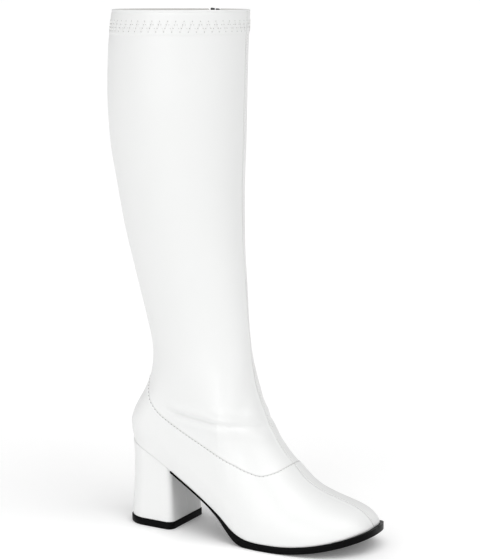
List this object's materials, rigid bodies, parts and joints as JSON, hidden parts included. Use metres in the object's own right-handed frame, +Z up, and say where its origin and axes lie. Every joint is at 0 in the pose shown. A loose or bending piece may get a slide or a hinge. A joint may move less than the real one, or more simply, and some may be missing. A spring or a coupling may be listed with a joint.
{
  "type": "go go boot",
  "caption": "Right knee-high go go boot in glossy white stretch faux leather, with a round toe, centre seam, covered block heel, thin black sole and an inner side zip.",
  "frame": {"origin": "on the floor, under the middle of the heel's top lift", "axes": "+X runs forward to the toe, +Y to the medial (inner) side with the zip, +Z up the leg"},
  "size_m": [0.2479, 0.1188, 0.448],
  "materials": {
    "upper": "glossy white coated stretch fabric",
    "sole": "smooth black, polished edge",
    "heel_cover": "glossy white cover, same as the upper",
    "top_lift": "satin black",
    "insole": "matte off-white sock",
    "zip_coil": "white nylon coil on woven tape",
    "zip_metal": "bright nickel",
    "pull_metal": "bright nickel"
  },
  "bodies": {
    "boot": {"upper": "upper", "outsole": "sole", "heel_block": "heel_cover", "top_lift": "top_lift", "insole": "insole", "zip_chain": "zip_coil", "zip_slider": "zip_metal"},
    "pull_tab": {"zip_pull": "pull_metal"}
  },
  "joints": [
    {"name": "pull_swing", "type": "hinge", "parent": "boot", "child": "pull_tab", "pos_m": [0.0195, 0.05987, 0.43811], "axis": [0.9945, 0.003, -0.1042], "range_deg": [0, 170]}
  ]
}
